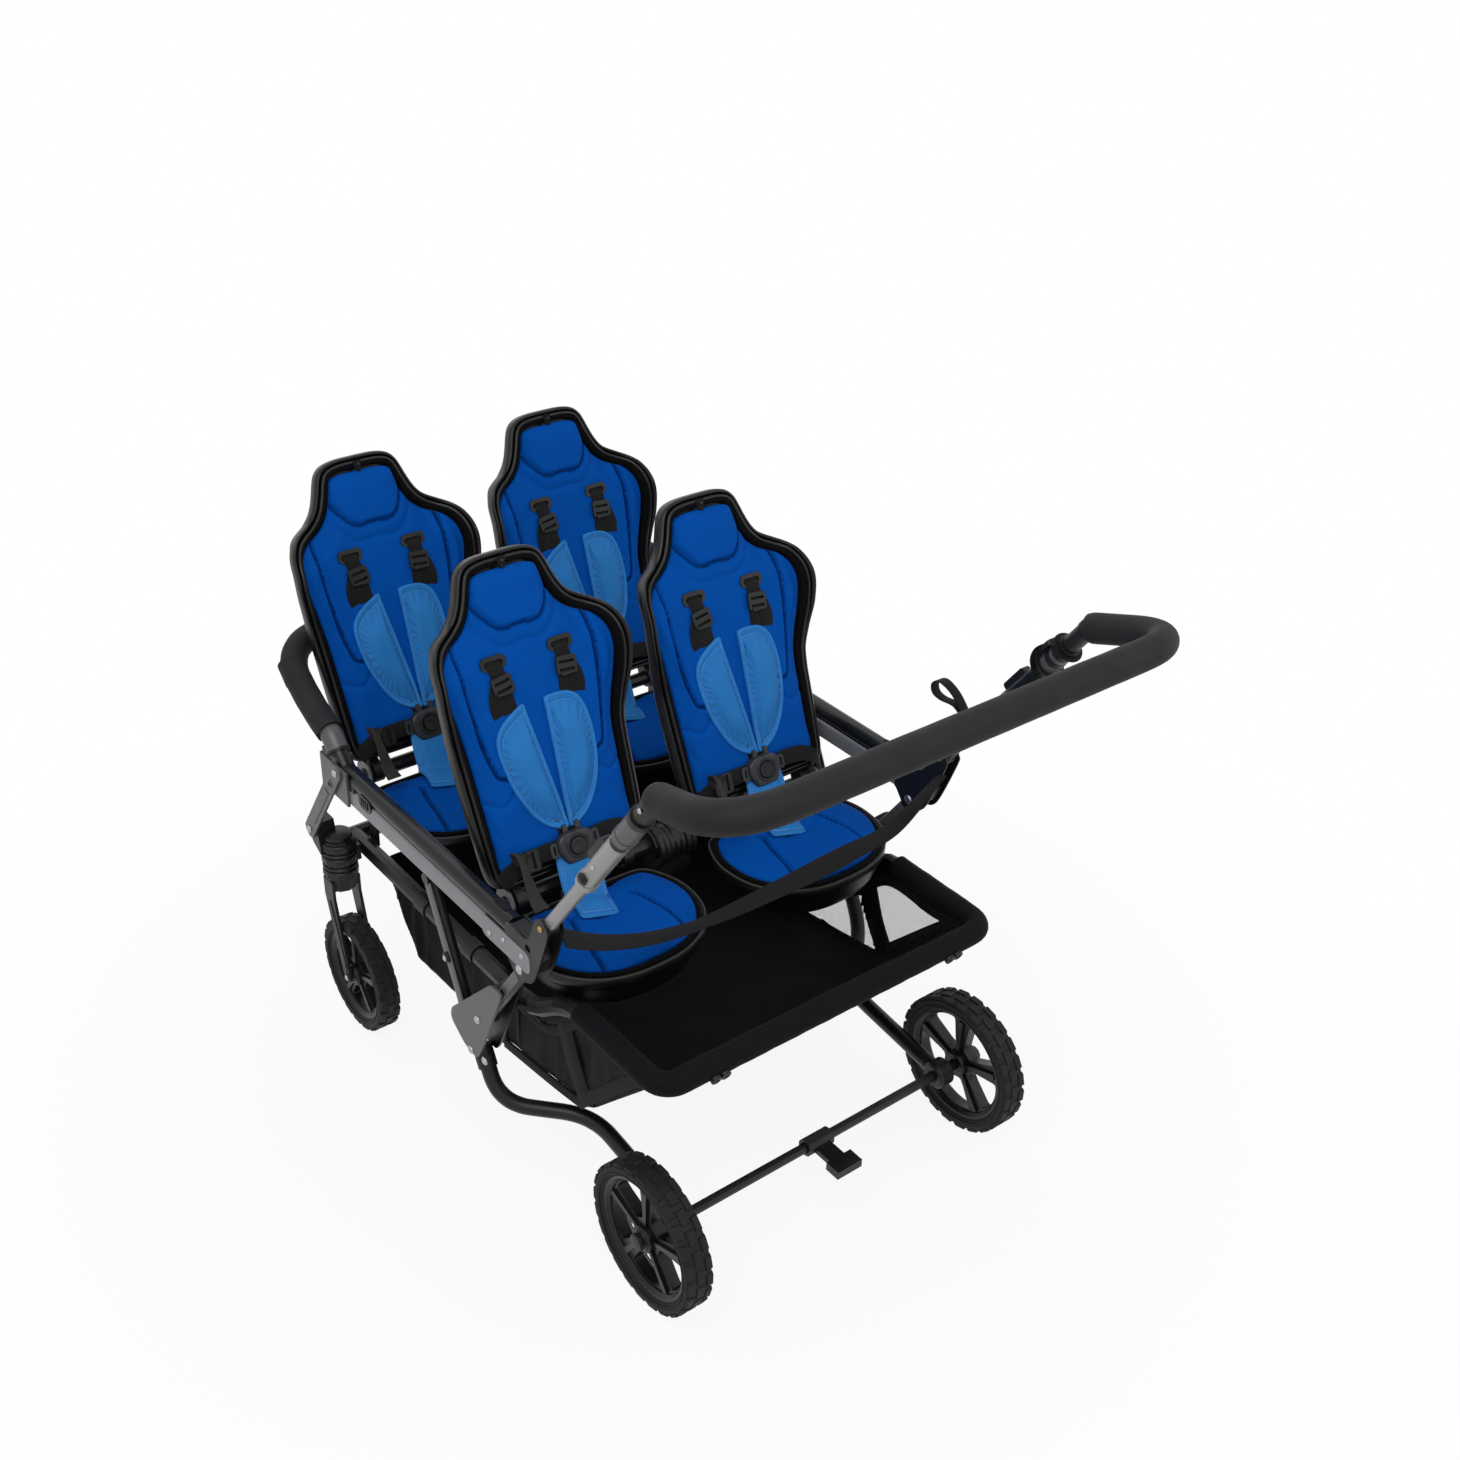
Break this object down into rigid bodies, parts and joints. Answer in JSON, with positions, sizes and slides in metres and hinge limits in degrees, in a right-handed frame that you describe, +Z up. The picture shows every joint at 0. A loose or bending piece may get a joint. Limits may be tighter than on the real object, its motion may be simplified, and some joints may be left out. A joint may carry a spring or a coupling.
{
  "type": "multi seat daycare stroller",
  "caption": "Folding daycare stroller with paired moulded seats in rows that face a foam handle, over an open fabric tub.",
  "frame": {"origin": "centre of the bounding box at ground level", "axes": "+Z up, +Y the way the stroller rolls, away from the handle, +X to the right of the person who pushes"},
  "size_m": [0.776, 1.232, 0.963],
  "materials": {
    "black_tube": "black satin powder coat",
    "grey_frame": "grey anodised, satin",
    "black_plastic": "moulded nylon, fine grain",
    "button_grey": "moulded",
    "foam": "closed-cell foam skin",
    "tyre": "moulded block tread",
    "seat_shell": "moulded, satin",
    "blue_pad": "laminated knit, sewn channels",
    "blue_harness": "coated cloth, stitched edge",
    "webbing": "woven webbing",
    "tub_fabric": "coated woven polyester"
  },
  "bodies": {
    "chassis": {"lower_frame": "black_tube", "seat_carrier_rear": "black_tube", "seat_carrier_front": "black_tube", "rear_leg_left": "grey_frame", "rear_leg_right": "grey_frame", "rear_axle": "black_tube", "caster_head_left": "black_plastic", "caster_head_right": "black_plastic", "fabric_tub": "tub_fabric", "pan_shell_rear_left": "seat_shell", "pan_pad_rear_left": "blue_pad", "pan_shell_rear_right": "seat_shell", "pan_pad_rear_right": "blue_pad", "pan_shell_front_left": "seat_shell", "pan_pad_front_left": "blue_pad", "pan_shell_front_right": "seat_shell", "pan_pad_front_right": "blue_pad"},
    "rear_links": {"rear_link_left": "grey_frame", "rear_link_right": "grey_frame"},
    "upper_frame": {"upper_rail_left": "black_tube", "upper_rail_right": "black_tube", "front_bracket_left": "grey_frame", "front_bracket_right": "grey_frame", "front_bar": "foam", "strap": "webbing"},
    "front_links": {"front_link_left": "grey_frame", "front_link_right": "grey_frame"},
    "braces": {"brace_left": "grey_frame", "brace_right": "grey_frame"},
    "handle": {"handle_arm_left": "grey_frame", "handle_arm_right": "grey_frame"},
    "grip": {"handle_grip": "foam"},
    "pedal": {"brake_pedal": "black_plastic"},
    "back_rear_left": {"back_shell_rear_left": "seat_shell", "back_pad_rear_left": "blue_pad", "harness_rear_left": "blue_harness", "buckle_rear_left": "black_plastic"},
    "button_rear_left": {"buckle_button_rear_left": "button_grey"},
    "back_rear_right": {"back_shell_rear_right": "seat_shell", "back_pad_rear_right": "blue_pad", "harness_rear_right": "blue_harness", "buckle_rear_right": "black_plastic"},
    "button_rear_right": {"buckle_button_rear_right": "button_grey"},
    "back_front_left": {"back_shell_front_left": "seat_shell", "back_pad_front_left": "blue_pad", "harness_front_left": "blue_harness", "buckle_front_left": "black_plastic"},
    "button_front_left": {"buckle_button_front_left": "button_grey"},
    "back_front_right": {"back_shell_front_right": "seat_shell", "back_pad_front_right": "blue_pad", "harness_front_right": "blue_harness", "buckle_front_right": "black_plastic"},
    "button_front_right": {"buckle_button_front_right": "button_grey"},
    "fork_left": {"caster_fork_left": "black_plastic"},
    "wheel_front_left": {"front_wheel_left": "tyre"},
    "wheel_rear_left": {"rear_wheel_left": "tyre"},
    "fork_right": {"caster_fork_right": "black_plastic"},
    "wheel_front_right": {"front_wheel_right": "tyre"},
    "wheel_rear_right": {"rear_wheel_right": "tyre"}
  },
  "joints": [
    {"name": "frame_fold", "type": "hinge", "parent": "chassis", "child": "rear_links", "pos_m": [0, -0.05028, 0.312], "axis": [1, 0, 0], "range_deg": [0, 45], "deforming": ["strap"]},
    {"name": "upper_frame_level", "type": "hinge", "parent": "rear_links", "child": "upper_frame", "pos_m": [0, -0.165, 0.47583], "axis": [1, 0, 0], "range_deg": [-45, 0]},
    {"name": "front_link_fold", "type": "hinge", "parent": "chassis", "child": "front_links", "pos_m": [0, 0.44972, 0.366], "axis": [1, 0, 0], "range_deg": [0, 45]},
    {"name": "brace_fold", "type": "hinge", "parent": "chassis", "child": "braces", "pos_m": [0, 0.00172, 0.28], "axis": [1, 0, 0], "range_deg": [-56.25, 0]},
    {"name": "handle_fold", "type": "hinge", "parent": "upper_frame", "child": "handle", "pos_m": [0, -0.221, 0.578], "axis": [1, 0, 0], "range_deg": [0, 95]},
    {"name": "handle_telescope", "type": "slide", "parent": "handle", "child": "grip", "axis": [0, -0.5878, 0.809], "range_m": [0, 0.08]},
    {"name": "brake_press", "type": "hinge", "parent": "chassis", "child": "pedal", "pos_m": [0, -0.37428, 0.115], "axis": [1, 0, 0], "range_deg": [0, 25]},
    {"name": "seat_fold_rear_left", "type": "hinge", "parent": "chassis", "child": "back_rear_left", "pos_m": [-0.175, 0.00172, 0.449], "axis": [1, 0, 0], "range_deg": [0, 60], "deforming": ["harness_rear_left"]},
    {"name": "button_press_rear_left", "type": "slide", "parent": "back_rear_left", "child": "button_rear_left", "axis": [0, 0.9252, -0.3795], "range_m": [0, 0.002], "stiffness_N_per_m": 400, "springref_m": -0.001},
    {"name": "seat_fold_rear_right", "type": "hinge", "parent": "chassis", "child": "back_rear_right", "pos_m": [0.175, 0.00172, 0.449], "axis": [1, 0, 0], "range_deg": [0, 60], "deforming": ["harness_rear_right"]},
    {"name": "button_press_rear_right", "type": "slide", "parent": "back_rear_right", "child": "button_rear_right", "axis": [0, 0.9252, -0.3795], "range_m": [0, 0.002], "stiffness_N_per_m": 400, "springref_m": -0.001},
    {"name": "seat_fold_front_left", "type": "hinge", "parent": "chassis", "child": "back_front_left", "pos_m": [-0.175, 0.42172, 0.449], "axis": [1, 0, 0], "range_deg": [0, 60], "deforming": ["harness_front_left"]},
    {"name": "button_press_front_left", "type": "slide", "parent": "back_front_left", "child": "button_front_left", "axis": [0, 0.9252, -0.3795], "range_m": [0, 0.002], "stiffness_N_per_m": 400, "springref_m": -0.001},
    {"name": "seat_fold_front_right", "type": "hinge", "parent": "chassis", "child": "back_front_right", "pos_m": [0.175, 0.42172, 0.449], "axis": [1, 0, 0], "range_deg": [0, 60], "deforming": ["harness_front_right"]},
    {"name": "button_press_front_right", "type": "slide", "parent": "back_front_right", "child": "button_front_right", "axis": [0, 0.9252, -0.3795], "range_m": [0, 0.002], "stiffness_N_per_m": 400, "springref_m": -0.001},
    {"name": "caster_swivel_left", "type": "hinge", "parent": "chassis", "child": "fork_left", "pos_m": [-0.342, 0.42672, 0.275], "axis": [0, 0, 1], "continuous": true},
    {"name": "front_wheel_spin_left", "type": "hinge", "parent": "fork_left", "child": "wheel_front_left", "pos_m": [-0.342, 0.38672, 0.1], "axis": [1, 0, 0], "continuous": true},
    {"name": "rear_wheel_spin_left", "type": "hinge", "parent": "chassis", "child": "wheel_rear_left", "pos_m": [-0.3, -0.37428, 0.115], "axis": [1, 0, 0], "continuous": true},
    {"name": "caster_swivel_right", "type": "hinge", "parent": "chassis", "child": "fork_right", "pos_m": [0.342, 0.42672, 0.275], "axis": [0, 0, 1], "continuous": true},
    {"name": "front_wheel_spin_right", "type": "hinge", "parent": "fork_right", "child": "wheel_front_right", "pos_m": [0.342, 0.38672, 0.1], "axis": [1, 0, 0], "continuous": true},
    {"name": "rear_wheel_spin_right", "type": "hinge", "parent": "chassis", "child": "wheel_rear_right", "pos_m": [0.3, -0.37428, 0.115], "axis": [1, 0, 0], "continuous": true}
  ],
  "couplings": [
    {"joint": "upper_frame_level", "follows": "frame_fold", "ratio": -1},
    {"joint": "front_link_fold", "follows": "frame_fold", "ratio": 1},
    {"joint": "brace_fold", "follows": "frame_fold", "ratio": -1.25},
    {"joint": "seat_fold_rear_left", "follows": "frame_fold", "ratio": 1.3333},
    {"joint": "seat_fold_rear_right", "follows": "frame_fold", "ratio": 1.3333},
    {"joint": "seat_fold_front_left", "follows": "frame_fold", "ratio": 1.3333},
    {"joint": "seat_fold_front_right", "follows": "frame_fold", "ratio": 1.3333}
  ]
}
